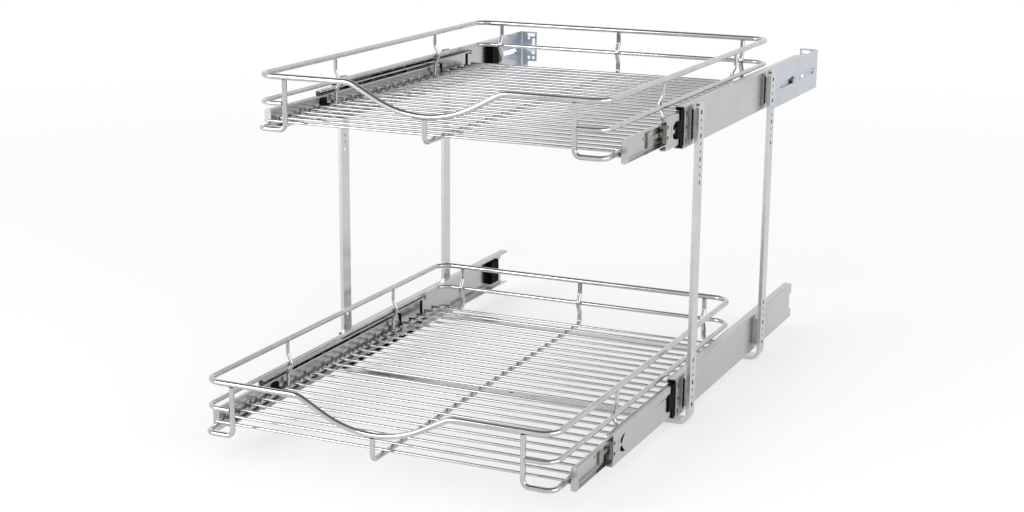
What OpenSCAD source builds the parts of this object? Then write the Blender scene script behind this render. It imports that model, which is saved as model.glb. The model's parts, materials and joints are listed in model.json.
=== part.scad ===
// Two tier pull out wire basket for a kitchen cabinet.
// Frame: X across the cabinet, Y from the door to the back wall, Z up from the cabinet floor.
// Origin: the screw hole in the front frame's floor bar, on the cabinet floor.

/* [Frames] */
// Overall width over the outer faces of the posts
overall_w = 433; // [390:1:560]
// Height of the posts above the cabinet floor
post_h = 354; // [350:1:420]
// Width of the flat strip that each frame is bent from
strip_w = 18; // [16:0.5:22]
// Thickness of the strip
strip_t = 4; // [3:0.5:5]
// Outside radius of the frame's lower bends
frame_bend_r = 12; // [8:0.5:14]
// Corner radius at the top of each post
post_top_r = 5; // [2:0.5:7]
// Distance between the middles of the front and rear frames
frame_pitch = 264; // [200:1:300]
// Diameter of the screw hole in each floor bar
floor_hole_d = 5.2; // [4:0.1:8]
// Diameter of the large holes in the posts
post_hole_d = 5; // [4:0.5:6]
// Diameter of the small holes in the posts
post_pin_d = 3; // [2:0.5:3.5]
// Distance between neighbouring holes in a post
post_hole_pitch = 8.4; // [8:0.1:9]
// Height of the highest hole of the lower column
lower_holes_top = 72; // [68:1:90]
// Height of the highest hole of the upper column
upper_holes_top = 344; // [320:1:345]

/* [Slides] */
// Length of the cabinet members
slide_len = 450; // [430:1:500]
// How much shorter the middle members are than the cabinet members
middle_short = 69; // [66:1:80]
// How much shorter the drawer members are than the cabinet members
drawer_short = 54; // [52:1:64]
// Height of the cabinet members
slide_h = 45.2; // [44.6:0.1:46.6]
// Height of the middle members
middle_h = 34.8; // [34.2:0.1:35]
// Height of the drawer members
drawer_h = 24.2; // [23.6:0.1:24.4]
// Thickness of a whole slide across its three members
slide_t = 11; // [11:0.1:12.5]
// Wall thickness of the rolled members
slide_wall = 1; // [0.8:0.1:1.1]
// Gap between a cabinet member and the post beside it
post_gap = 4.5; // [3:0.1:7]
// Distance from the front ends of the slides back to the middle of the front frame
slide_lead = 29.9; // [24:0.1:36]
// Height of the middle of the lower slides above the cabinet floor
lower_slide_z = 34.7; // [32:0.1:50]
// Distance between the lower and the upper slides
tier_pitch = 296.4; // [270:0.1:300]
// Travel of each of the two stages of a slide
stage_travel = 225; // [200:1:226]
// Diameter of the steel balls
ball_d = 4; // [3:0.1:4]
// Number of balls in a row
ball_count = 6; // [3:1:9]
// Length of a ball cage
cage_len = 150; // [110:1:150]
// Distance from a cage's front end to the end of its member at full travel
cage_lead = 4; // [4:0.5:8]

/* [Baskets] */
// Depth of a basket between the centres of its front and back rails
basket_d = 533; // [520:1:600]
// Height from the floor hoops up to the top rail, between centres
basket_h = 55.2; // [50:0.1:80]
// Distance from the top rail down to the middle rail, between centres
mid_drop = 27.9; // [24:0.1:32]
// Distance from the front rail back to the front ends of the drawer members
basket_nose = 30.7; // [24:0.1:38]
// Depth of the hoops' side runs below the middle of the slides
hoop_drop = 2.7; // [2:0.1:3.4]
// Diameter of the top rail wire
rail_d = 6; // [5:0.1:6.4]
// Diameter of the hoop wires
hoop_d = 5.5; // [4:0.1:5.8]
// Diameter of the middle rail wire
mid_d = 5; // [4:0.1:5.4]
// Diameter of the side uprights
upright_d = 4; // [3.4:0.1:5]
// Diameter of the floor wires
floor_wire_d = 3; // [2.4:0.1:3.4]
// Distance between neighbouring floor wires
floor_pitch = 20.4; // [16:0.1:26]
// Distance from the front rail back to the first floor wire
floor_first = 21.5; // [14:0.1:24]
// Bend radius of the rails at the basket's corners, to the wire's centre
rail_corner_r = 18; // [12:0.5:22]
// Bend radius of the hoops at the basket's lower corners
hoop_corner_r = 10; // [8:0.5:12]
// Bend radius where the hoops turn up into the verticals
hoop_bend_r = 7; // [6:0.5:8]
// Distance from a side run inward to the outer verticals
vertical_inset = 32; // [28:0.5:60]
// Depth of the dip in the front rail
dip_depth = 29; // [20:0.5:34]
// Half the width of the dip, between the bend points of its shoulders
dip_half_w = 84; // [74:1:100]
// Slope of the dip's flanks, in degrees
dip_slope = 28; // [27:0.5:32]
// Bend radius of the dip's shoulders
dip_shoulder_r = 25; // [10:1:30]

/* [Support angles] */
// Width of the leg that carries the hoop
angle_w = 11; // [10:0.1:13]
// Height of the leg that is screwed to the drawer member
angle_h = 11.8; // [11:0.1:12.5]
// Thickness of the support angles
angle_t = 1.2; // [1:0.1:1.3]
// Distance from a drawer member's front end back to its support angle
angle_setback = 3; // [0:0.1:10]

/* [Rear brackets] */
// Distance from the middle of the rear frame back to the fixing flange's face
bracket_reach = 226.3; // [200:0.1:260]
// Height of the rear brackets
bracket_h = 48.5; // [46:0.1:52]
// Thickness of the rear brackets
bracket_t = 2; // [1.5:0.1:2.4]
// Width of the fixing flange across the cabinet
flange_w = 24; // [22:0.1:30]
// Width of the adjusting slots
adjust_slot_w = 7; // [5:0.1:8]
// Length of the front adjusting slot
front_slot_len = 62; // [40:1:64]
// Length of the rear adjusting slot
rear_slot_len = 69; // [40:1:70]
// Distance from the middle of the rear frame back to the middle of the front adjusting slot
front_slot_lead = 82.2; // [70:0.1:84]
// Distance from the fixing flange's face forward to the middle of the rear adjusting slot
rear_slot_lead = 54.5; // [48:0.1:60]

/* [Rest position] */
// Distance that the upper middle members stand out of their cabinet members
upper_middle_out = 47.5; // [0:0.1:180]
// Travel of the upper basket from its closed position
upper_out = 152; // [60:0.1:220]
// Distance that the lower middle members stand out
lower_middle_out = 179; // [60:0.1:200]
// Travel of the lower basket from its closed position
lower_out = 265.9; // [200:0.1:300]

/* [Hidden] */
$fn = 64;

// Length by which a cut runs past the faces that it opens
over = 1;
// Gap between parts that are welded or seated on each other
seat_gap = 0.1;
// Gap between the faces that slide past each other in a slide
slide_gap = 0.4;

// Places across the cabinet, on the right hand side
post_outer_x = overall_w / 2;
post_inner_x = post_outer_x - strip_t;
web_outer_x = post_inner_x - post_gap;
web_inner_x = web_outer_x - slide_wall;
drawer_inner_x = web_outer_x - slide_t;
cage_web_t = slide_wall / 2;
middle_outer_x = web_inner_x - cage_web_t - 2 * slide_gap;
middle_inner_x = middle_outer_x - slide_wall;
drawer_outer_x = middle_inner_x - cage_web_t - 2 * slide_gap;
middle_lip_x = drawer_inner_x + 0.7 * slide_wall;
ball_x = (middle_lip_x + slide_wall + drawer_outer_x) / 2 + slide_gap / 2;

// Heights in a slide, from its middle
outer_ball_z = (slide_h / 2 - slide_wall + middle_h / 2) / 2;
inner_ball_z = (middle_h / 2 - slide_wall + drawer_h / 2) / 2;
cage_t = 0.8 * slide_wall;
lip_h = 1.4 * slide_wall;
section_r = 2 * slide_wall;

// Places along the cabinet
middle_len = slide_len - middle_short;
drawer_len = slide_len - drawer_short;
cabinet_front_y = -slide_lead;
drawer_lead = 2 * slide_wall;
stop_head_len = 10 * slide_wall;
bumper_front = drawer_len - drawer_lead + stop_head_len + slide_gap;
bumper_len = 21.8 * slide_wall;
upper_slide_z = lower_slide_z + tier_pitch;

// A tier is its slide height, the reach of its middle members and the reach of its basket
UPPER = [upper_slide_z, upper_middle_out, upper_out];
LOWER = [lower_slide_z, lower_middle_out, lower_out];

// Places across a basket
hoop_x = drawer_inner_x - angle_t - 0.3 * slide_wall - hoop_d / 2;
vertical_x = hoop_x - vertical_inset;
hoop_z = -hoop_drop;
rail_z = hoop_z + basket_h;
mid_z = rail_z - mid_drop;
angle_top_z = hoop_z - hoop_d / 2 - seat_gap;
floor_z = hoop_z + hoop_d / 2 + seat_gap + floor_wire_d / 2;
floor_end_x = hoop_x + 1.4 * slide_wall;
floor_count = floor((basket_d - 2 * floor_first) / floor_pitch) + 1;
upright_step = (mid_d + upright_d) / 2 + seat_gap;
back_step = (mid_d + hoop_d) / 2 + seat_gap;

// Side uprights stand just in front of the floor wires at these shares of their row
upright_places_share = [0.29, 0.79];
upright_y = [for (share = upright_places_share)
    floor_first + round(share * (floor_count - 1)) * floor_pitch
        - (floor_wire_d + upright_d) / 2 - slide_gap];

// The catch and the basket clip stand this far behind the drawer member's front
catch_y = 67.5;
catch_len = 10;
catch_t = 1.6;
catch_arm_len = 22;
clip_share = 0.188;
clip_y = clip_share * basket_d;
clip_len = 13;
ear_len = 4;

// Screws join a drawer member to its support angle at these shares of its length
angle_screws_share = [0.15, 0.9];
screw_d = 3;
screw_head_d = 4;
screw_head_t = 1.5;

// Front end plate of a drawer member
end_plate_h = 22.4;
end_plate_proud = 1.2;

// Stand off tab that is lanced out of a cabinet member at each post, and the window round it
tab_h = 31;
tab_lead = 4;
tab_foot_len = 6;
tab_window_h = 35;
tab_window_lead = 7.5;
tab_window_len = 5.5;
tab_window_r = 2;

// Front column of mounting holes in a cabinet member
mount_hole_lead = 6.5;
mount_hole_d = 4;
mount_slot_w = 3;
mount_slot_h = 6;
mount_slot_rise = 14.5;
notch_depth = 8;
notch_h = 21;

// Front end of a middle member
pilot_hole_d = 4;
pilot_holes_z = [7.5, -3.6];
pilot_hole_lead = 3.2;
window_lead = 18.7;
window_w = 14;
window_h = 9.5;
recess_lead = 31;
recess_h = 18;
recess_shoulder = 1.5;
recess_depth = 0.5;
stamp_lead = 8;
stamp_w = 6;
stamp_h = 12;
stamp_rise = 2;
stamp_depth = 0.3;

// Corners of the upper wedge, as shares of its width and height
wedge_shares = [[0, 0.32], [0.36, 0.06], [0.57, 0.54], [1, 1], [0.61, 0.98], [0.09, 0.68]];

bracket_screw_d = 4;
bracket_screw_head_d = 9;
bracket_screw_head_t = 1.6;

module steel() { color([0.80, 0.81, 0.82]) children(); }
module zinc() { color([0.70, 0.72, 0.75]) children(); }
module chrome() { color([0.88, 0.89, 0.91]) children(); }
module black_plastic() { color([0.05, 0.05, 0.05]) children(); }
module tan_plastic() { color([0.72, 0.66, 0.55]) children(); }

// One of the two sides: the right hand side as it is, or its mirror image
module on_side(side) {
    if (side > 0) children();
    else mirror([1, 0, 0]) children();
}

module both_sides() {
    children();
    mirror([1, 0, 0]) children();
}

// A rectangle with round corners, from its lower left corner
module rounded_rect(w, h, r) {
    translate([r, 0]) square([w - 2 * r, h]);
    translate([0, r]) square([w, h - 2 * r]);
    for (x = [r, w - r], y = [r, h - r])
        translate([x, y]) circle(r);
}

// A slot with round ends, centred, long along X
module slot_2d(len, w) {
    square([len - w, w], center = true);
    for (x = [-1, 1])
        translate([x * (len - w) / 2, 0]) circle(w / 2);
}

// Lays a flat XY shape into the YZ plane and extrudes it along X from x0 for t
module along_x(x0, t) {
    translate([x0, 0, 0]) rotate([90, 0, 90]) linear_extrude(t) children();
}

// Lays a flat XZ shape into the XZ plane and extrudes it along Y from y0 for len
module along_y(y0, len) {
    translate([0, y0 + len, 0]) rotate([90, 0, 0]) linear_extrude(len) children();
}

module hole_x(x0, x1, y, z, d) {
    translate([x0, y, z]) rotate([0, 90, 0]) cylinder(h = x1 - x0, d = d);
}

function unit(v) = v / norm(v);
function bend_angle(a, b) = acos(max(-1, min(1, a * b)));

// A piece of round wire from p to q
module wire_run(p, q, d) {
    v = q - p;
    z = unit(v);
    helper = abs(z[2]) < 0.9 ? [0, 0, 1] : [1, 0, 0];
    x = unit(cross(helper, z));
    y = cross(z, x);
    multmatrix([
        [x[0], y[0], z[0], p[0]],
        [x[1], y[1], z[1], p[1]],
        [x[2], y[2], z[2], p[2]]
    ]) cylinder(h = norm(v), d = d);
}

// A bend of round wire at corner p, from direction a to direction b, with centre line radius r
module wire_bend(p, a, b, r, d) {
    angle = bend_angle(a, b);
    n = unit(b - a * (a * b));
    c = p - a * r * tan(angle / 2) + n * r;
    x = -n;
    z = cross(x, a);
    multmatrix([
        [x[0], a[0], z[0], c[0]],
        [x[1], a[1], z[1], c[1]],
        [x[2], a[2], z[2], c[2]]
    ]) rotate_extrude(angle = angle) translate([r, 0]) circle(d = d);
}

// A sleeve, a hair thicker than the wire, over a joint between a run and a bend, so that they fuse
sleeve_len_share = 0.15;
sleeve_d_share = 1.012;

module wire_sleeve(p, dir, d) {
    half = dir * sleeve_len_share * d / 2;
    wire_run(p - half, p + half, sleeve_d_share * d);
}

// Round wire through the points, bent at each inner point with the radius given for it
module wire(points, radii, d) {
    last = len(points) - 1;
    dirs = [for (i = [0 : last - 1]) unit(points[i + 1] - points[i])];
    cut = [for (i = [0 : last])
        i == 0 || i == last ? 0 : radii[i - 1] * tan(bend_angle(dirs[i - 1], dirs[i]) / 2)];
    for (i = [0 : last - 1])
        wire_run(points[i] + dirs[i] * cut[i], points[i + 1] - dirs[i] * cut[i + 1], d);
    for (i = [1 : last - 1]) {
        wire_bend(points[i], dirs[i - 1], dirs[i], radii[i - 1], d);
        wire_sleeve(points[i] - dirs[i - 1] * cut[i], dirs[i - 1], d);
        wire_sleeve(points[i] + dirs[i] * cut[i], dirs[i], d);
    }
    // Butt weld of a closed rail
    if (points[0] == points[last]) wire_sleeve(points[0], dirs[0], d);
}

// Outline of a frame from the front: a U with round lower corners
module u_outline(w, h, r) {
    translate([-w / 2, r]) square([w, h - r]);
    translate([-w / 2 + r, 0]) square([w - 2 * r, h]);
    for (x = [-1, 1])
        translate([x * (w / 2 - r), r]) circle(r);
}

module frame(y) {
    steel() difference() {
        intersection() {
            along_y(y - strip_w / 2, strip_w) difference() {
                u_outline(overall_w, post_h, frame_bend_r);
                translate([0, strip_t])
                    u_outline(overall_w - 2 * strip_t, post_h, frame_bend_r - strip_t);
            }
            along_x(-post_outer_x - over, overall_w + 2 * over)
                translate([y - strip_w / 2, -post_top_r * 2])
                    rounded_rect(strip_w, post_h + post_top_r * 2, post_top_r);
        }
        translate([0, y, -over]) cylinder(h = strip_t + 2 * over, d = floor_hole_d);
        for (column = [[upper_holes_top, 9], [lower_holes_top, 6]], i = [0 : column[1]])
            hole_x(-post_outer_x - over, post_outer_x + over, y, column[0] - i * post_hole_pitch,
                i % 3 == 0 ? post_hole_d : post_pin_d);
    }
}

// Cross section of a rolled channel on the right side, open towards the basket or away from it
module channel(x0, x1, h, lips, open_in) {
    difference() {
        translate([x0, -h / 2]) rounded_rect(x1 - x0, h, section_r);
        translate([x0 + slide_wall, -h / 2 + slide_wall])
            rounded_rect(x1 - x0 - 2 * slide_wall, h - 2 * slide_wall, section_r - slide_wall);
        translate([open_in ? x0 - over : x1 - slide_wall - section_r, -h / 2 + slide_wall + lips])
            square([over + slide_wall + section_r, h - 2 * slide_wall - 2 * lips]);
    }
}

// One lanced tab: a leg that stands off the web and a foot that lies on the post's inner face
module stand_off_tab(y) {
    translate([web_outer_x - slide_wall / 2, y - tab_lead, -tab_h / 2])
        cube([post_gap + slide_wall / 2, slide_wall, tab_h]);
    translate([post_inner_x - slide_wall, y - tab_lead, -tab_h / 2])
        cube([slide_wall, tab_foot_len, tab_h]);
}

// The window that the tab was bent out of, with a relief above and below the tab's root
module tab_window(y) {
    difference() {
        along_x(web_inner_x - over, slide_wall + 2 * over)
            translate([y - tab_window_lead, -tab_window_h / 2])
                rounded_rect(tab_window_len, tab_window_h, tab_window_r);
        translate([web_inner_x - 2 * over, y - tab_lead, -tab_h / 2])
            cube([slide_wall + 4 * over, tab_lead, tab_h]);
    }
}

module cabinet_member(side, tier) {
    z = tier[0];
    zinc() on_side(side) translate([0, 0, z]) {
        difference() {
            union() {
                along_y(cabinet_front_y, slide_len)
                    channel(drawer_inner_x, web_outer_x, slide_h, lip_h, true);
                for (y = [0, frame_pitch]) stand_off_tab(y);
            }
            for (y = [0, frame_pitch]) tab_window(y);
            hole_x(web_inner_x - over, web_outer_x + over, cabinet_front_y + mount_hole_lead, 0,
                mount_hole_d);
            for (rise = [-1, 1])
                along_x(web_inner_x - over, slide_wall + 2 * over)
                    translate([cabinet_front_y + mount_hole_lead, rise * mount_slot_rise])
                        rotate(90) slot_2d(mount_slot_h, mount_slot_w);
            translate([web_inner_x - over, cabinet_front_y + slide_len - notch_depth, -notch_h / 2])
                cube([slide_wall + 2 * over, notch_depth + over, notch_h]);
            if (z == upper_slide_z)
                hole_x(web_inner_x - over, web_outer_x + over, bracket_screw_y, bracket_screw_z - z,
                    bracket_screw_d);
        }
    }
}

function middle_front_y(tier) = cabinet_front_y - tier[1];
function drawer_front_y(tier) = cabinet_front_y - drawer_lead - tier[2];

// The cut outs in a middle member's web: two wedges, two pilot holes, a stamped square and the
// long shallow recess with sloping shoulders
module middle_cut_outs(y) {
    along_y(y + recess_lead, middle_len) polygon([
        [middle_outer_x + over, -recess_h / 2],
        [middle_outer_x, -recess_h / 2],
        [middle_outer_x - recess_depth, recess_shoulder - recess_h / 2],
        [middle_outer_x - recess_depth, recess_h / 2 - recess_shoulder],
        [middle_outer_x, recess_h / 2],
        [middle_outer_x + over, recess_h / 2]
    ]);
    translate([middle_outer_x - stamp_depth, y + stamp_lead, stamp_rise - stamp_h / 2])
        cube([stamp_depth + over, stamp_w, stamp_h]);
    for (z = pilot_holes_z)
        hole_x(middle_inner_x - over, middle_outer_x + over, y + pilot_hole_lead, z, pilot_hole_d);
    for (rise = [-1, 1])
        along_x(middle_inner_x - over, slide_wall + 2 * over) translate([y + window_lead, 0])
            polygon([for (corner = wedge_shares)
                [corner[0] * window_w, rise * corner[1] * window_h]]);
}

module middle_member(side, tier) {
    y = middle_front_y(tier);
    zinc() on_side(side) translate([0, 0, tier[0]]) difference() {
        along_y(y, middle_len) channel(middle_lip_x, middle_outer_x, middle_h, lip_h, true);
        middle_cut_outs(y);
    }
}

// Tan moulded buffer on the web of each middle member, just inside its front end, with a hollow face
buffer_h = 19;
buffer_len = 2.8;
buffer_w = 3.6;
buffer_hollow_r = 30;

module middle_front_buffers(tier) {
    y = middle_front_y(tier);
    x1 = middle_inner_x - seat_gap;
    tan_plastic() both_sides() translate([0, 0, tier[0]])
        along_y(y + seat_gap, buffer_len) difference() {
            translate([x1 - buffer_w, -buffer_h / 2]) square([buffer_w, buffer_h]);
            translate([x1 - buffer_w - buffer_hollow_r + slide_wall, 0]) circle(buffer_hollow_r);
        }
}

module drawer_member(side, tier) {
    y = drawer_front_y(tier);
    zinc() on_side(side) translate([0, 0, tier[0]]) difference() {
        union() {
            along_y(y, drawer_len)
                channel(drawer_inner_x, drawer_outer_x, drawer_h, 0, false);
            // Front end plate, proud of the flanges on the outside and lower than they are
            along_y(y, slide_wall) translate([drawer_inner_x, -end_plate_h / 2])
                rounded_rect(drawer_outer_x + end_plate_proud - drawer_inner_x, end_plate_h,
                    section_r);
        }
        for (share = angle_screws_share)
            hole_x(drawer_inner_x - over, drawer_inner_x + slide_wall + over,
                y + share * drawer_len, angle_screw_z, screw_d + 2 * seat_gap);
    }
}

// Black moulded guide in the mouth of each cabinet member, round the middle member. Its root sits
// in the mouth, and a nose, a plate and a tongue reach forward from it, each thinner than the last.
guide_root = 3;
guide_nose = 3;
guide_nose_reach = 4;
guide_edge = 1.2;
guide_plate = 8;
guide_plate_t = 0.8;
guide_tongue = 19;
guide_tongue_h = 18;

module front_guides(tier) {
    free_z = middle_h / 2 + slide_gap;
    outer_z = slide_h / 2 - slide_wall - seat_gap;
    nose_z = free_z + guide_edge;
    inner_x = drawer_inner_x + slide_wall + 2 * seat_gap;
    nose_x = web_inner_x - guide_nose_reach;
    outer_x = web_inner_x - seat_gap;
    plate_x = outer_x - guide_plate_t;
    black_plastic() both_sides() translate([0, 0, tier[0]]) {
        difference() {
            union() {
                along_y(cabinet_front_y, guide_root) translate([inner_x, -outer_z])
                    rounded_rect(outer_x - inner_x, 2 * outer_z, section_r / 2);
                along_y(cabinet_front_y - guide_nose, guide_nose + guide_root)
                    translate([nose_x, -nose_z]) square([outer_x - nose_x, 2 * nose_z]);
            }
            along_y(cabinet_front_y - guide_nose - over, guide_nose + guide_root + 2 * over)
                translate([inner_x - over, -free_z])
                    square([plate_x - inner_x + over, 2 * free_z]);
        }
        along_x(plate_x, guide_plate_t) {
            translate([cabinet_front_y - guide_plate, -nose_z])
                square([guide_plate + guide_root, 2 * nose_z]);
            translate([cabinet_front_y - guide_tongue, -guide_tongue_h / 2])
                square([guide_tongue, guide_tongue_h]);
        }
    }
}

// Black buffer that stops the members at the back of each cabinet member
module rear_bumpers(tier) {
    inner_x = drawer_inner_x + 2 * slide_wall;
    h = middle_h - 3 * slide_wall;
    black_plastic() both_sides() translate([0, 0, tier[0]])
        along_y(cabinet_front_y + bumper_front, bumper_len) translate([inner_x, -h / 2])
            rounded_rect(web_inner_x - inner_x, h, section_r);
}

// Front end of a cage, behind the front end of the member that it runs in
function outer_cage_y(tier) = cabinet_front_y + cage_lead + (stage_travel - tier[1]) / 2;
function inner_cage_y(tier) =
    middle_front_y(tier) + cage_lead + (stage_travel - (tier[2] - tier[1])) / 2;

// A cage: two strips that hold the ball rows, joined by a thin web at each end
module cage(y, row_z, web_x) {
    x0 = ball_x - ball_d / 2 - slide_gap;
    bridge_len = 2 * ball_d;
    difference() {
        union() {
            for (rise = [-1, 1])
                translate([x0, y, rise * row_z - cage_t / 2])
                    cube([web_x + cage_web_t - x0, cage_len, cage_t]);
            for (end_y = [0, cage_len - bridge_len])
                translate([web_x, y + end_y, -row_z]) cube([cage_web_t, bridge_len, 2 * row_z]);
        }
        for (i = [0 : ball_count - 1])
            translate([ball_x, ball_y(y, i), -row_z - over])
                cylinder(h = 2 * (row_z + over), d = ball_d + 2 * seat_gap);
    }
}

function ball_y(y, i) = y + ball_d + i * (cage_len - 2 * ball_d) / (ball_count - 1);

module outer_cages(tier) {
    black_plastic() both_sides() translate([0, 0, tier[0]])
        cage(outer_cage_y(tier), outer_ball_z, middle_outer_x + slide_gap);
}

module inner_cages(tier) {
    black_plastic() both_sides() translate([0, 0, tier[0]])
        cage(inner_cage_y(tier), inner_ball_z, drawer_outer_x + slide_gap);
}

module balls(y, row_z, tier) {
    chrome() both_sides() translate([0, 0, tier[0]])
        for (i = [0 : ball_count - 1], rise = [-1, 1])
            translate([ball_x, ball_y(y, i), rise * row_z]) sphere(d = ball_d);
}

// Black cap on the back end of each middle member, open round the drawer member
module middle_end_caps(tier) {
    y = middle_front_y(tier) + middle_len;
    cap_len = 4 * slide_wall;
    free_z = drawer_h / 2 + 2 * slide_gap;
    x0 = middle_lip_x + slide_wall;
    x1 = middle_outer_x - seat_gap;
    h = middle_h - 2 * seat_gap;
    black_plastic() both_sides() translate([0, 0, tier[0]])
        along_y(y, cap_len) difference() {
            translate([x0, -h / 2]) rounded_rect(x1 - x0, h, slide_wall);
            translate([x0 - over, -free_z])
                square([drawer_outer_x + slide_gap - x0 + over, 2 * free_z]);
        }
}

// Black plug in the back end of each drawer member
module drawer_stops(tier) {
    y = drawer_front_y(tier) + drawer_len;
    root_len = 6 * slide_wall;
    h = drawer_h - 2 * slide_wall - 2 * seat_gap;
    x0 = drawer_inner_x + slide_wall + seat_gap;
    black_plastic() both_sides() translate([0, 0, tier[0]])
        translate([x0, y - root_len, -h / 2])
            cube([drawer_outer_x - seat_gap - x0, root_len + stop_head_len, h]);
}

// Tan moulded catch on each drawer member's web, with its thin arm
module drawer_catches(tier) {
    y = drawer_front_y(tier) + catch_y;
    h = drawer_h - 8 * slide_wall;
    x0 = drawer_inner_x + slide_wall + seat_gap;
    tan_plastic() both_sides() translate([0, 0, tier[0]]) {
        translate([x0, y, -h / 2]) cube([catch_t, catch_len, h]);
        translate([x0, y + catch_len - over, -h / 8])
            cube([catch_t / 2, catch_arm_len + over, h / 4]);
    }
}

function basket_y(tier) = drawer_front_y(tier) - basket_nose;
angle_screw_z = angle_top_z - angle_t + angle_h - screw_head_d / 2 - seat_gap;

// Angle that is screwed to a drawer member's inner face and carries the basket's side hoop
module support_angle(side, tier) {
    y0 = drawer_front_y(tier) + angle_setback;
    len = drawer_len - angle_setback;
    zinc() on_side(side) translate([0, 0, tier[0]]) difference() {
        union() {
            translate([drawer_inner_x - angle_w, y0, angle_top_z - angle_t])
                cube([angle_w, len, angle_t]);
            translate([drawer_inner_x - angle_t, y0, angle_top_z - angle_t])
                cube([angle_t, len, angle_h]);
            // Ear in front of the basket clip
            translate([drawer_inner_x - angle_t, drawer_front_y(tier) + clip_y - ear_len - seat_gap,
                angle_top_z])
                cube([angle_t, ear_len, angle_h + ear_len]);
        }
        for (share = angle_screws_share)
            hole_x(drawer_inner_x - angle_t - over, drawer_inner_x + over,
                drawer_front_y(tier) + share * drawer_len, angle_screw_z, screw_d + 2 * seat_gap);
    }
}

// Pan head screws through each upright leg into the drawer member
module angle_screws(tier) {
    head_x = drawer_inner_x - angle_t - screw_head_t;
    steel() both_sides() translate([0, 0, tier[0]])
        for (share = angle_screws_share) {
            y = drawer_front_y(tier) + share * drawer_len;
            hole_x(head_x, head_x + screw_head_t, y, angle_screw_z, screw_head_d);
            hole_x(head_x, drawer_inner_x + 1.5 * slide_wall, y, angle_screw_z, screw_d);
        }
}

// Black moulded clips that key each basket to its support angles
module basket_clips(tier) {
    y = drawer_front_y(tier) + clip_y;
    z0 = hoop_z + hoop_d / 2 + 2 * seat_gap;
    leg_top = angle_top_z - angle_t + angle_h;
    clip_h = leg_top + ear_len - z0;
    x0 = floor_end_x + seat_gap;
    black_plastic() both_sides() translate([0, 0, tier[0]]) {
        translate([x0, y, z0])
            cube([drawer_inner_x - angle_t - seat_gap - x0, clip_len, clip_h]);
        translate([x0, y, leg_top + seat_gap])
            cube([drawer_inner_x - seat_gap - x0, clip_len, z0 + clip_h - leg_top - seat_gap]);
    }
}

module basket_frame(tier) {
    translate([0, basket_y(tier), tier[0]]) children();
}

// Top rail: a closed loop with a smooth dip in the front
module top_rail(tier) {
    dip_z = dip_half_w * tan(dip_slope);
    dip_r = (dip_z - dip_depth) / (1 / cos(dip_slope) - 1);
    points = [
        [0, basket_d, rail_z],
        [hoop_x, basket_d, rail_z],
        [hoop_x, 0, rail_z],
        [dip_half_w, 0, rail_z],
        [0, 0, rail_z - dip_z],
        [-dip_half_w, 0, rail_z],
        [-hoop_x, 0, rail_z],
        [-hoop_x, basket_d, rail_z],
        [0, basket_d, rail_z]
    ];
    radii = [rail_corner_r, rail_corner_r, dip_shoulder_r, dip_r, dip_shoulder_r,
        rail_corner_r, rail_corner_r];
    chrome() basket_frame(tier) wire(points, radii, rail_d);
}

// Middle rail: round the sides and back, ending at the outer front verticals
module middle_rail(tier) {
    end_x = vertical_x + hoop_d / 2 + seat_gap;
    points = [
        [end_x, 0, mid_z],
        [hoop_x, 0, mid_z],
        [hoop_x, basket_d, mid_z],
        [-hoop_x, basket_d, mid_z],
        [-hoop_x, 0, mid_z],
        [-end_x, 0, mid_z]
    ];
    radii = [rail_corner_r - mid_d / 2, rail_corner_r, rail_corner_r, rail_corner_r - mid_d / 2];
    chrome() basket_frame(tier) wire(points, radii, mid_d);
}

// The back verticals and the uprights step round the middle rail between these heights
step_bend_r = hoop_d;
step_near = 0.4 * mid_d;
step_far = step_near + 1.8 * hoop_d;
under_rail_z = rail_z - rail_d / 2 - seat_gap;

function back_vertical(x) = [
    [x, basket_d, mid_z - step_far],
    [x, basket_d - back_step, mid_z - step_near],
    [x, basket_d - back_step, mid_z + step_near],
    [x, basket_d, mid_z + step_far],
    [x, basket_d, under_rail_z]
];

// Outer hoop: front vertical, front corner, side run, back corner and back vertical
module side_hoop(side, tier) {
    points = concat([
        [vertical_x, 0, under_rail_z],
        [vertical_x, 0, hoop_z],
        [hoop_x, 0, hoop_z],
        [hoop_x, basket_d, hoop_z],
        [vertical_x, basket_d, hoop_z]
    ], back_vertical(vertical_x));
    radii = [hoop_bend_r, hoop_corner_r, hoop_corner_r, hoop_bend_r,
        step_bend_r, step_bend_r, step_bend_r, step_bend_r];
    chrome() on_side(side) basket_frame(tier) wire(points, radii, hoop_d);
}

// Centre hoop: from the dip down, under the floor and up to the back rail
module centre_hoop(tier) {
    points = concat([
        [0, 0, under_rail_z - dip_depth],
        [0, 0, hoop_z],
        [0, basket_d, hoop_z]
    ], back_vertical(0));
    radii = [hoop_bend_r, hoop_bend_r, step_bend_r, step_bend_r, step_bend_r, step_bend_r];
    chrome() basket_frame(tier) wire(points, radii, hoop_d);
}

// Floor wires across the basket, on top of the three hoops
module floor_wires(tier) {
    chrome() basket_frame(tier)
        for (i = [0 : floor_count - 1])
            hole_x(-floor_end_x, floor_end_x, floor_first + i * floor_pitch, floor_z, floor_wire_d);
}

// Side uprights between the hoops' side runs and the top rail, stepped inward round the middle rail
module side_uprights(tier) {
    chrome() basket_frame(tier) both_sides()
        for (y = upright_y)
            wire([
                [hoop_x, y, hoop_z + hoop_d / 2 + seat_gap],
                [hoop_x, y, mid_z - step_far],
                [hoop_x - upright_step, y, mid_z - step_near],
                [hoop_x - upright_step, y, mid_z + step_near],
                [hoop_x, y, mid_z + step_far],
                [hoop_x, y, under_rail_z]
            ], [upright_d, upright_d, upright_d, upright_d], upright_d);
}

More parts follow.
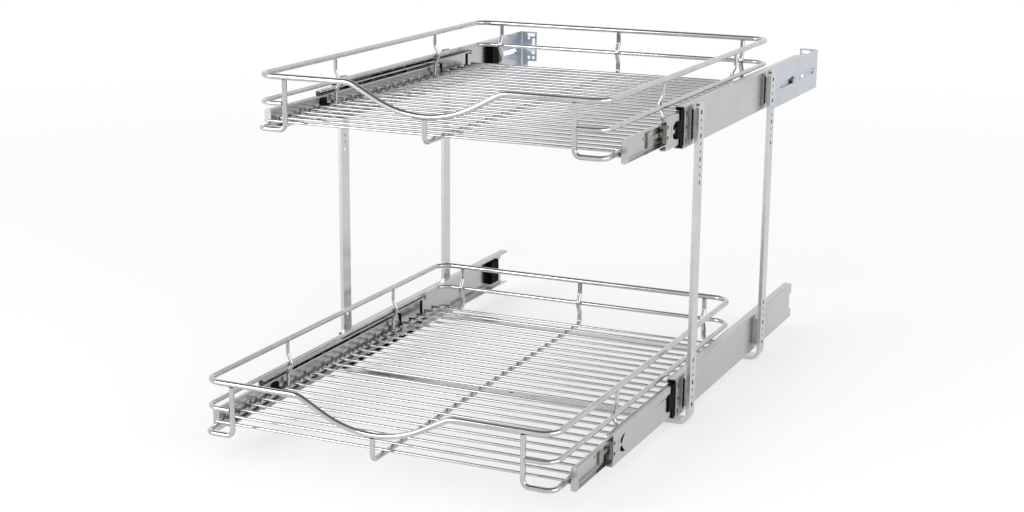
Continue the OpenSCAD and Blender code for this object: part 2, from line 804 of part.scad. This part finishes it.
// Rear bracket: a slotted side plate on the cabinet member and a flange for the back wall
bracket_x0 = web_outer_x + seat_gap;
bracket_x1 = bracket_x0 + bracket_t;
bracket_y1 = frame_pitch + bracket_reach;
bracket_y0 = frame_pitch + strip_w / 2 + 4.4 * slide_wall;
bracket_z1 = upper_slide_z + slide_h / 2 - 0.8 * slide_wall;
bracket_z0 = bracket_z1 - bracket_h;
bracket_z = (bracket_z0 + bracket_z1) / 2;
bracket_bend_r = 2 * bracket_t;
bracket_corner_r = 4;
front_slot_y = frame_pitch + front_slot_lead;
rear_slot_y = bracket_y1 - rear_slot_lead;
bracket_screw_y = front_slot_y + front_slot_len / 2 - adjust_slot_w / 2;
bracket_screw_z = bracket_z;

// Holes of the flange: distance in from its free edge, height from its middle
flange_holes = [[11.5, 15.4, 4], [5, -4.4, 5], [11.4, -11.3, 4.5], [4.5, -11.3, 4.5]];

module rear_bracket(side) {
    flange_x = bracket_x1 - flange_w;
    zinc() on_side(side) difference() {
        intersection() {
            // Plan of the bent plate
            translate([0, 0, bracket_z0]) linear_extrude(bracket_h) {
                translate([bracket_x0, bracket_y0])
                    square([bracket_t, bracket_y1 - bracket_bend_r - bracket_y0]);
                translate([flange_x, bracket_y1 - bracket_t])
                    square([flange_w - bracket_bend_r, bracket_t]);
                translate([bracket_x1 - bracket_bend_r, bracket_y1 - bracket_bend_r])
                    intersection() {
                        difference() {
                            circle(bracket_bend_r);
                            circle(bracket_bend_r - bracket_t);
                        }
                        square(bracket_bend_r + over);
                    }
            }
            along_x(flange_x - over, flange_w + 2 * over)
                translate([bracket_y0, bracket_z0])
                    rounded_rect(bracket_y1 - bracket_y0 + 2 * bracket_corner_r, bracket_h,
                        bracket_corner_r);
        }
        along_x(bracket_x0 - over, bracket_t + 2 * over) {
            translate([front_slot_y, bracket_z]) slot_2d(front_slot_len, adjust_slot_w);
            translate([rear_slot_y, bracket_z]) slot_2d(rear_slot_len, adjust_slot_w);
        }
        for (h = flange_holes)
            translate([flange_x + h[0], bracket_y1 + over, bracket_z + h[1]]) rotate([90, 0, 0])
                cylinder(h = bracket_t + 2 * over, d = h[2]);
        along_y(bracket_y1 - bracket_t - over, bracket_t + 2 * over) {
            translate([flange_x + flange_slot_in, bracket_z + flange_slot_rise])
                slot_2d(flange_slot_len, flange_slot_w);
            translate([flange_x + flange_slot_w, bracket_z + flange_hook_rise])
                rotate(90) slot_2d(flange_slot_len, flange_slot_w);
            translate([flange_x - over, bracket_z0 - over])
                square([flange_notch_w + over, flange_notch_h + over]);
        }
    }
}

flange_slot_w = 4.5;
flange_slot_len = 12;
flange_slot_in = 8;
flange_slot_rise = 20;
flange_hook_rise = 10;
flange_notch_w = 13;
flange_notch_h = 8;

module bracket_fixings() {
    zinc() both_sides() {
        hole_x(web_inner_x, bracket_x1 + bracket_screw_head_t / 2, bracket_screw_y, bracket_screw_z,
            bracket_screw_d - 2 * seat_gap);
        hole_x(bracket_x1, bracket_x1 + bracket_screw_head_t, bracket_screw_y, bracket_screw_z,
            bracket_screw_head_d);
    }
}

frame(0);  // front_frame
frame(frame_pitch);  // rear_frame
cabinet_member(-1, UPPER);  // upper_left_cabinet_member
cabinet_member(1, UPPER);  // upper_right_cabinet_member
cabinet_member(-1, LOWER);  // lower_left_cabinet_member
cabinet_member(1, LOWER);  // lower_right_cabinet_member
middle_member(-1, UPPER);  // upper_left_middle_member
middle_member(1, UPPER);  // upper_right_middle_member
middle_member(-1, LOWER);  // lower_left_middle_member
middle_member(1, LOWER);  // lower_right_middle_member
drawer_member(-1, UPPER);  // upper_left_drawer_member
drawer_member(1, UPPER);  // upper_right_drawer_member
drawer_member(-1, LOWER);  // lower_left_drawer_member
drawer_member(1, LOWER);  // lower_right_drawer_member
front_guides(UPPER);  // upper_front_guides
front_guides(LOWER);  // lower_front_guides
rear_bumpers(UPPER);  // upper_rear_bumpers
rear_bumpers(LOWER);  // lower_rear_bumpers
outer_cages(UPPER);  // upper_outer_cages
inner_cages(UPPER);  // upper_inner_cages
outer_cages(LOWER);  // lower_outer_cages
inner_cages(LOWER);  // lower_inner_cages
balls(outer_cage_y(UPPER), outer_ball_z, UPPER);  // upper_outer_balls
balls(inner_cage_y(UPPER), inner_ball_z, UPPER);  // upper_inner_balls
balls(outer_cage_y(LOWER), outer_ball_z, LOWER);  // lower_outer_balls
balls(inner_cage_y(LOWER), inner_ball_z, LOWER);  // lower_inner_balls
middle_end_caps(UPPER);  // upper_middle_end_caps
middle_end_caps(LOWER);  // lower_middle_end_caps
middle_front_buffers(UPPER);  // upper_middle_front_buffers
middle_front_buffers(LOWER);  // lower_middle_front_buffers
drawer_stops(UPPER);  // upper_drawer_stops
drawer_stops(LOWER);  // lower_drawer_stops
drawer_catches(UPPER);  // upper_drawer_catches
drawer_catches(LOWER);  // lower_drawer_catches
support_angle(-1, UPPER);  // upper_left_support_angle
support_angle(1, UPPER);  // upper_right_support_angle
support_angle(-1, LOWER);  // lower_left_support_angle
support_angle(1, LOWER);  // lower_right_support_angle
angle_screws(UPPER);  // upper_angle_screws
angle_screws(LOWER);  // lower_angle_screws
basket_clips(UPPER);  // upper_basket_clips
basket_clips(LOWER);  // lower_basket_clips
top_rail(UPPER);  // upper_top_rail
top_rail(LOWER);  // lower_top_rail
middle_rail(UPPER);  // upper_middle_rail
middle_rail(LOWER);  // lower_middle_rail
side_hoop(-1, UPPER);  // upper_left_hoop
centre_hoop(UPPER);  // upper_centre_hoop
side_hoop(1, UPPER);  // upper_right_hoop
side_hoop(-1, LOWER);  // lower_left_hoop
centre_hoop(LOWER);  // lower_centre_hoop
side_hoop(1, LOWER);  // lower_right_hoop
floor_wires(UPPER);  // upper_floor_wires
floor_wires(LOWER);  // lower_floor_wires
side_uprights(UPPER);  // upper_side_uprights
side_uprights(LOWER);  // lower_side_uprights
rear_bracket(-1);  // upper_left_rear_bracket
rear_bracket(1);  // upper_right_rear_bracket
bracket_fixings();  // bracket_screws
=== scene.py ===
"""Looks of a two tier pull out cabinet basket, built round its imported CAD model."""

import json
import math

import bmesh
import bpy
from mathutils import Matrix, Vector

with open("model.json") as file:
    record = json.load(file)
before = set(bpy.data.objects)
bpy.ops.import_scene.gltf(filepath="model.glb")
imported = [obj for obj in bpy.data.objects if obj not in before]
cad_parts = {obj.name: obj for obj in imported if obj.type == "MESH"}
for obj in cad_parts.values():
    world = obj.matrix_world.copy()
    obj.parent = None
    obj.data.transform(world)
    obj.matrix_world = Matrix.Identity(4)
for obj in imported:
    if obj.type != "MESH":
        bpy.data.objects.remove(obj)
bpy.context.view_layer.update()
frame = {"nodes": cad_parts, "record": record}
nodes = frame["nodes"]
scene = bpy.context.scene
scene.view_settings.view_transform = "Standard"


# Node tree helpers


class Tree:
    """Short calls for building one material's nodes."""

    def __init__(self, name):
        self.mat = bpy.data.materials.new(name)
        self.mat.use_nodes = True
        self.nt = self.mat.node_tree
        self.bsdf = self.nt.nodes["Principled BSDF"]

    def node(self, kind, **props):
        n = self.nt.nodes.new(kind)
        for key, value in props.items():
            setattr(n, key, value)
        return n

    def link(self, a, b):
        self.nt.links.new(a, b)

    def coords(self, scale=(1, 1, 1)):
        tc = self.node("ShaderNodeTexCoord")
        mp = self.node("ShaderNodeMapping")
        mp.inputs["Scale"].default_value = scale
        self.link(tc.outputs["Object"], mp.inputs["Vector"])
        return mp.outputs["Vector"]

    def noise(self, scale, detail, rough=0.5, stretch=(1, 1, 1)):
        n = self.node("ShaderNodeTexNoise")
        n.inputs["Scale"].default_value = scale
        n.inputs["Detail"].default_value = detail
        n.inputs["Roughness"].default_value = rough
        self.link(self.coords(stretch), n.inputs["Vector"])
        return n.outputs["Fac"]

    def spread(self, value, low, high, out_low, out_high):
        """Map low..high to out_low..out_high, clamped."""
        n = self.node("ShaderNodeMapRange")
        set_range(n, low, high, out_low, out_high)
        self.link(value, n.inputs["Value"])
        return n.outputs["Result"]

    def spread_noise(self, value, out_low, out_high):
        """Map the middle of a noise, where nearly all of it lies, to out_low..out_high."""
        return self.spread(value, NOISE_LOW, NOISE_HIGH, out_low, out_high)

    def mix(self, fac, a, b):
        n = self.node("ShaderNodeMix", data_type="RGBA")
        self.link(fac, n.inputs["Factor"])
        n.inputs["A"].default_value = (*a, 1)
        n.inputs["B"].default_value = (*b, 1)
        return n.outputs["Result"]

    def bump(self, value, distance, strength):
        n = self.node("ShaderNodeBump")
        n.inputs["Distance"].default_value = distance
        n.inputs["Strength"].default_value = strength
        self.link(value, n.inputs["Height"])
        self.link(n.outputs["Normal"], self.bsdf.inputs["Normal"])

    def put(self, name, value):
        """Set a socket to a number or a colour, or link an output to it."""
        socket = self.bsdf.inputs[name]
        if isinstance(value, (int, float)):
            socket.default_value = value
        elif isinstance(value, tuple):
            socket.default_value = (*value, 1)
        else:
            self.link(value, socket)


def set_range(map_range, low, high, out_low, out_high):
    names = ("From Min", "From Max", "To Min", "To Max")
    for name, value in zip(names, (low, high, out_low, out_high)):
        map_range.inputs[name].default_value = value


# Finishes, one for each material slot of the record

NOISE_LOW = 0.3
NOISE_HIGH = 0.7
ROLLING_STRETCH = (1, 0.03, 1)
ROLLING_BUMP_M = 0.000006
PLASTIC_CLOUDS_PER_M = 60
GRAIN_PER_M = 900
GRAIN_BUMP_M = 0.00004


def metal(name, dark, light, rough, clouds_per_m, lines_per_m):
    """Plated steel: slow tone changes, fine rolling lines along the member and uneven gloss."""
    t = Tree(name)
    t.put("Metallic", 1.0)
    cloud = t.noise(clouds_per_m, detail=4, rough=0.6)
    lines = t.noise(lines_per_m, detail=3, rough=0.7, stretch=ROLLING_STRETCH)
    t.put("Base Color", t.mix(t.spread_noise(cloud, 0, 1), dark, light))
    t.put("Roughness", t.spread_noise(lines, *rough))
    t.bump(lines, ROLLING_BUMP_M, strength=0.4)
    return t.mat


def plastic(name, dark, light, rough, specular):
    """Moulded plastic: a fine grain and slightly uneven gloss."""
    t = Tree(name)
    t.put("Specular IOR Level", specular)
    grain = t.noise(GRAIN_PER_M, detail=3)
    cloud = t.noise(PLASTIC_CLOUDS_PER_M, detail=2)
    t.put("Base Color", t.mix(t.spread_noise(cloud, 0, 1), dark, light))
    t.put("Roughness", t.spread_noise(grain, *rough))
    t.bump(grain, GRAIN_BUMP_M, strength=0.35)
    return t.mat


METALS = {
    "plated_wire": dict(dark=(0.46, 0.46, 0.47), light=(0.57, 0.57, 0.58), rough=(0.05, 0.12),
                        clouds_per_m=35, lines_per_m=400),
    "frame_steel": dict(dark=(0.54, 0.54, 0.55), light=(0.60, 0.60, 0.60), rough=(0.19, 0.26),
                        clouds_per_m=40, lines_per_m=300),
    "slide_zinc": dict(dark=(0.45, 0.45, 0.445), light=(0.50, 0.50, 0.49), rough=(0.19, 0.26),
                       clouds_per_m=22, lines_per_m=260),
    "bracket_zinc": dict(dark=(0.46, 0.50, 0.55), light=(0.51, 0.55, 0.60), rough=(0.22, 0.29),
                         clouds_per_m=22, lines_per_m=260),
    "screw_steel": dict(dark=(0.30, 0.31, 0.33), light=(0.48, 0.49, 0.51), rough=(0.22, 0.36),
                        clouds_per_m=200, lines_per_m=900),
    "ball_steel": dict(dark=(0.62, 0.62, 0.63), light=(0.72, 0.72, 0.73), rough=(0.05, 0.09),
                       clouds_per_m=200, lines_per_m=900),
}
PLASTICS = {
    # Near black: the colour of the slide's black plastic parts. On the plate laid over the middle
    # member's web it is also painted shade, standing in for the dark gap between the slide webs.
    "black_plastic": dict(dark=(0.003, 0.003, 0.003), light=(0.007, 0.007, 0.008),
                          rough=(0.40, 0.55), specular=0.02),
    "tan_plastic": dict(dark=(0.22, 0.205, 0.175), light=(0.32, 0.30, 0.26),
                        rough=(0.30, 0.42), specular=0.25),
}

finishes = {name: metal(name, **look) for name, look in METALS.items()}
finishes.update({name: plastic(name, **look) for name, look in PLASTICS.items()})
for part in frame["record"]["subparts"]:
    for slot in nodes[part["node"]].material_slots:
        slot.material = finishes[part["material_slot"]]


# Camera, on the photograph's viewpoint

CAMERA_AT = (0.8036, -1.7840, 0.6516)
YAW, PITCH, ROLL = (math.radians(a) for a in (24.434, 14.042, 0.432))
FOCAL_PX = 1798.4
PRINCIPAL_PX = (506.6, 258.1)
IMAGE_PX = (1024, 512)
SENSOR_MM = 36


def add_camera():
    look = Vector((-math.sin(YAW) * math.cos(PITCH), math.cos(YAW) * math.cos(PITCH),
                   -math.sin(PITCH)))
    right = Vector((math.cos(YAW), math.sin(YAW), 0))
    up = right.cross(look)
    right, up = (right * math.cos(ROLL) + up * math.sin(ROLL),
                 up * math.cos(ROLL) - right * math.sin(ROLL))
    data = bpy.data.cameras.new("camera")
    data.sensor_width = SENSOR_MM
    data.lens = FOCAL_PX * SENSOR_MM / IMAGE_PX[0]
    data.shift_x = (IMAGE_PX[0] / 2 - PRINCIPAL_PX[0]) / IMAGE_PX[0]
    data.shift_y = (PRINCIPAL_PX[1] - IMAGE_PX[1] / 2) / IMAGE_PX[0]
    data.clip_start = 0.05
    data.clip_end = 50
    camera = bpy.data.objects.new("camera", data)
    turn = Matrix((right, up, -look)).transposed().to_4x4()
    camera.matrix_world = Matrix.Translation(CAMERA_AT) @ turn
    scene.collection.objects.link(camera)
    scene.camera = camera


# Floor, background and lamps

FLOOR_HALF_M = 12.0
FLOOR_DROP_M = 0.0002
FLOOR_GREY = 0.90
# The floor glows from this share near the object to all of it far away, for seen rays only
GLOW_NEAR_SHARE = 0.45
GLOW_FROM_M = 0.7
GLOW_TO_M = 2.6
SKY_LIGHT = (0.95, 0.97, 1.0)
SKY_STRENGTH = 0.92
# Seen rays find a white sky up to the first z of their direction, and a dim one from the second
SKY_WHITE_TO_Z = 0.55
SKY_DIM_FROM_Z = 0.85
SKY_DIM = 0.20
LAMPS = {
    "key": dict(at=(-1.5, -1.9, 0.9), aim=(0, 0, 0.25), size=(1.4, 1.5), watts=30),
    "fill": dict(at=(2.1, -0.4, 0.85), aim=(0, 0.1, 0.25), size=(2.2, 1.6), watts=18),
}


def seen_rays(nt):
    """One for the rays that show the background: camera, mirror and glass rays."""
    path = nt.nodes.new("ShaderNodeLightPath")
    fac = path.outputs["Is Camera Ray"]
    for name in ("Is Glossy Ray", "Is Transmission Ray"):
        either = nt.nodes.new("ShaderNodeMath")
        either.operation = "MAXIMUM"
        nt.links.new(fac, either.inputs[0])
        nt.links.new(path.outputs[name], either.inputs[1])
        fac = either.outputs[0]
    return fac


def floor_material():
    """Pale matt ground: it shows the object's shadow near the origin and fades to plain white."""
    t = Tree("floor")
    t.put("Base Color", (FLOOR_GREY, FLOOR_GREY, FLOOR_GREY))
    t.put("Roughness", 0.9)
    t.put("Specular IOR Level", 0.0)
    glow = t.node("ShaderNodeEmission")
    mix = t.node("ShaderNodeMixShader")
    share = t.node("ShaderNodeMath", operation="MULTIPLY")
    dist = t.node("ShaderNodeVectorMath", operation="LENGTH")
    t.link(t.coords(), dist.inputs[0])
    t.link(seen_rays(t.nt), share.inputs[0])
    t.link(t.spread(dist.outputs["Value"], GLOW_FROM_M, GLOW_TO_M, GLOW_NEAR_SHARE, 1.0),
           share.inputs[1])
    t.link(share.outputs[0], mix.inputs["Fac"])
    t.link(t.bsdf.outputs[0], mix.inputs[1])
    t.link(glow.outputs[0], mix.inputs[2])
    t.link(mix.outputs[0], t.nt.nodes["Material Output"].inputs["Surface"])
    return t.mat


def add_floor():
    bm = bmesh.new()
    corners = [bm.verts.new((x * FLOOR_HALF_M, y * FLOOR_HALF_M, -FLOOR_DROP_M))
               for x, y in ((-1, -1), (1, -1), (1, 1), (-1, 1))]
    bm.faces.new(corners)
    mesh = bpy.data.meshes.new("floor")
    bm.to_mesh(mesh)
    bm.free()
    obj = bpy.data.objects.new("floor", mesh)
    scene.collection.objects.link(obj)
    mesh.materials.append(floor_material())


def add_world():
    """White round the horizon and dim overhead, as in a light tent with an open top."""
    world = bpy.data.worlds.new("studio")
    world.use_nodes = True
    nt = world.node_tree
    nt.nodes.clear()
    out = nt.nodes.new("ShaderNodeOutputWorld")
    soft = nt.nodes.new("ShaderNodeBackground")
    seen = nt.nodes.new("ShaderNodeBackground")
    mix = nt.nodes.new("ShaderNodeMixShader")
    where = nt.nodes.new("ShaderNodeTexCoord")
    split = nt.nodes.new("ShaderNodeSeparateXYZ")
    ramp = nt.nodes.new("ShaderNodeMapRange")
    ramp.interpolation_type = "SMOOTHSTEP"
    set_range(ramp, SKY_WHITE_TO_Z, SKY_DIM_FROM_Z, 1.0, SKY_DIM)
    soft.inputs["Color"].default_value = (*SKY_LIGHT, 1)
    soft.inputs["Strength"].default_value = SKY_STRENGTH
    seen.inputs["Color"].default_value = (1, 1, 1, 1)
    nt.links.new(where.outputs["Generated"], split.inputs[0])
    nt.links.new(split.outputs["Z"], ramp.inputs["Value"])
    nt.links.new(ramp.outputs["Result"], seen.inputs["Strength"])
    nt.links.new(seen_rays(nt), mix.inputs["Fac"])
    nt.links.new(soft.outputs[0], mix.inputs[1])
    nt.links.new(seen.outputs[0], mix.inputs[2])
    nt.links.new(mix.outputs[0], out.inputs["Surface"])
    scene.world = world


def add_lamp(name, at, aim, size, watts):
    data = bpy.data.lights.new(name, "AREA")
    data.shape = "RECTANGLE"
    data.size, data.size_y = size
    data.energy = watts
    obj = bpy.data.objects.new(name, data)
    obj.location = at
    obj.rotation_euler = (Vector(aim) - Vector(at)).to_track_quat("-Z", "Y").to_euler()
    scene.collection.objects.link(obj)


add_camera()
add_floor()
add_world()
for lamp_name, lamp in LAMPS.items():
    add_lamp(lamp_name, **lamp)
